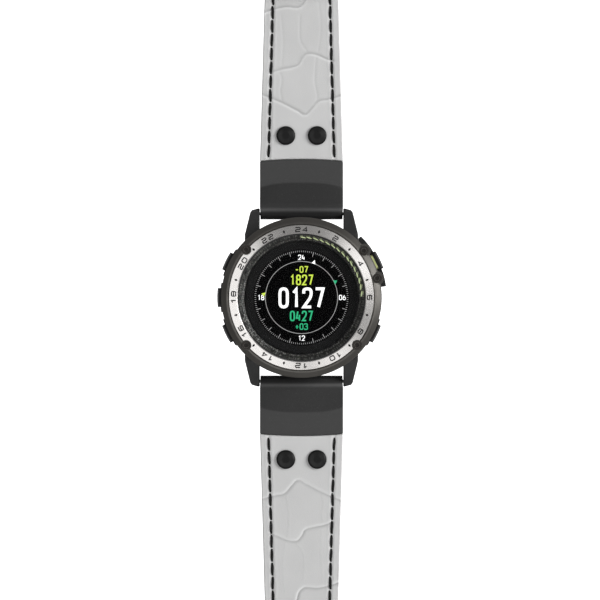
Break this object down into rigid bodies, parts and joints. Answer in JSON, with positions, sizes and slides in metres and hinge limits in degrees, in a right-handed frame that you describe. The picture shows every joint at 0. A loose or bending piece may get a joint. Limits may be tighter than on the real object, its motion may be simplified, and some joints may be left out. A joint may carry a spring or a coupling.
{
  "type": "golf gps watch",
  "caption": "Round golf GPS watch with a fixed 24-hour ring, five push buttons and a two-piece embossed leather strap on rubber end links, closed by a pin buckle.",
  "frame": {"origin": "on the dial axis, on the flat outer face of the sensor window at the back of the case", "axes": "+Z out of the dial, +Y to 12 o'clock (the buckle end), +X to 3 o'clock"},
  "size_m": [0.0527, 0.2861, 0.0175],
  "materials": {
    "case_coating": "dark grey coating, satin",
    "bezel_coating": "warm dark grey coating, fine brushed",
    "guard_coating": "black coating, satin",
    "hour_ring_steel": "circular brushed, black printed numbers",
    "screw_coating": "black oxide",
    "screw_steel": "satin",
    "spring_steel": "drawn",
    "switch_steel": "pressed",
    "contact_gold": "gold plated",
    "crystal_glass": "polished, coated",
    "sensor_glass": "dark infrared-clear resin, polished",
    "seal_rubber": "moulded",
    "rear_polymer": "fibre-reinforced, fine texture",
    "inner_polymer": "moulded",
    "carbon_weave": "carbon-look woven texture",
    "display_black": null,
    "accent_yellow_green": "yellow-green",
    "display_white": "lit segment",
    "display_green": "lit segment",
    "circuit_board": "solder mask",
    "battery_foil": "laminated pouch",
    "antenna_copper": "plated",
    "weight_tungsten": "sintered",
    "button_coating": "black coating, satin",
    "link_rubber": "dark grey, satin moulded",
    "strap_leather": "light grey, crocodile embossed",
    "lining_leather": "dark grey, smooth",
    "keeper_leather": "light grey, smooth",
    "stitch_thread": "waxed black thread",
    "rivet_black": "black, satin",
    "buckle_black": "black, satin",
    "print_black": "printed numbers"
  },
  "bodies": {
    "case": {"mid_case": "case_coating", "rear_cover": "rear_polymer", "rear_cover_screws": "screw_steel", "rear_gasket": "seal_rubber", "sensor_window": "sensor_glass", "sensor_board": "circuit_board", "charging_contacts": "contact_gold", "outer_bezel": "bezel_coating", "bezel_screws": "screw_coating", "start_button_guard": "guard_coating", "hour_ring": "hour_ring_steel", "bezel_gasket": "seal_rubber", "crystal": "crystal_glass", "crystal_gasket": "seal_rubber", "inner_ring": "carbon_weave", "display_panel": "display_black", "display_holder": "inner_polymer", "inner_frame": "inner_polymer", "main_board": "circuit_board", "battery": "battery_foil", "gps_antenna": "antenna_copper", "vibration_motor": "spring_steel", "button_sleeves": "spring_steel", "button_switches": "switch_steel", "spring_bars": "spring_steel", "light_button_spring": "spring_steel", "up_button_spring": "spring_steel", "down_button_spring": "spring_steel", "start_button_spring": "spring_steel", "back_button_spring": "spring_steel"},
    "light_button": {"light_button": "button_coating", "light_button_seal": "seal_rubber", "light_button_clip": "spring_steel"},
    "up_button": {"up_button": "button_coating", "up_button_seal": "seal_rubber", "up_button_clip": "spring_steel"},
    "down_button": {"down_button": "button_coating", "down_button_seal": "seal_rubber", "down_button_clip": "spring_steel"},
    "start_button": {"start_button": "button_coating", "start_button_seal": "seal_rubber", "start_button_clip": "spring_steel", "start_button_trim": "accent_yellow_green"},
    "back_button": {"back_button": "button_coating", "back_button_seal": "seal_rubber", "back_button_clip": "spring_steel"},
    "upper_strap": {"upper_end_link": "link_rubber", "upper_leather": "strap_leather", "upper_lining": "lining_leather", "upper_rivets": "rivet_black", "fixed_keeper": "keeper_leather"},
    "lower_strap": {"lower_end_link": "link_rubber", "lower_leather": "strap_leather", "lower_lining": "lining_leather", "lower_rivets": "rivet_black"},
    "buckle": {"buckle_frame": "buckle_black", "buckle_bar": "spring_steel"},
    "tongue": {"buckle_tongue": "buckle_black"},
    "loose_keeper": {"loose_keeper": "keeper_leather"},
    "motor_rotor": {"vibration_weight": "weight_tungsten"}
  },
  "joints": [
    {"name": "light_press", "type": "slide", "parent": "case", "child": "light_button", "axis": [0.8988, -0.4384, 0], "range_m": [0, 0.0008], "stiffness_N_per_m": 1500, "springref_m": -0.0005, "deforming": ["light_button_spring"]},
    {"name": "up_press", "type": "slide", "parent": "case", "child": "up_button", "axis": [1, 0, 0], "range_m": [0, 0.0008], "stiffness_N_per_m": 1500, "springref_m": -0.0005, "deforming": ["up_button_spring"]},
    {"name": "down_press", "type": "slide", "parent": "case", "child": "down_button", "axis": [0.8988, 0.4384, 0], "range_m": [0, 0.0008], "stiffness_N_per_m": 1500, "springref_m": -0.0005, "deforming": ["down_button_spring"]},
    {"name": "start_press", "type": "slide", "parent": "case", "child": "start_button", "axis": [-0.8988, -0.4384, 0], "range_m": [0, 0.0007], "stiffness_N_per_m": 1500, "springref_m": -0.0005, "deforming": ["start_button_spring"]},
    {"name": "back_press", "type": "slide", "parent": "case", "child": "back_button", "axis": [-0.8988, 0.4384, 0], "range_m": [0, 0.0008], "stiffness_N_per_m": 1500, "springref_m": -0.0005, "deforming": ["back_button_spring"]},
    {"name": "upper_strap_hinge", "type": "hinge", "parent": "case", "child": "upper_strap", "pos_m": [0, 0.0262, 0.0049], "axis": [1, 0, 0], "range_deg": [-85, 40]},
    {"name": "lower_strap_hinge", "type": "hinge", "parent": "case", "child": "lower_strap", "pos_m": [0, -0.0262, 0.0049], "axis": [-1, 0, 0], "range_deg": [-85, 40]},
    {"name": "buckle_hinge", "type": "hinge", "parent": "upper_strap", "child": "buckle", "pos_m": [0, 0.114, 0.0034], "axis": [1, 0, 0], "range_deg": [-75, 25]},
    {"name": "tongue_hinge", "type": "hinge", "parent": "buckle", "child": "tongue", "pos_m": [0, 0.114, 0.0034], "axis": [1, 0, 0], "range_deg": [0, 75]},
    {"name": "loose_keeper_slide", "type": "slide", "parent": "upper_strap", "child": "loose_keeper", "axis": [0, -1, 0], "range_m": [-0.0015, 0.012]},
    {"name": "rotor_spin", "type": "hinge", "parent": "case", "child": "motor_rotor", "pos_m": [0.0152, 0, 0.0059], "axis": [0, 0, 1], "continuous": true}
  ]
}
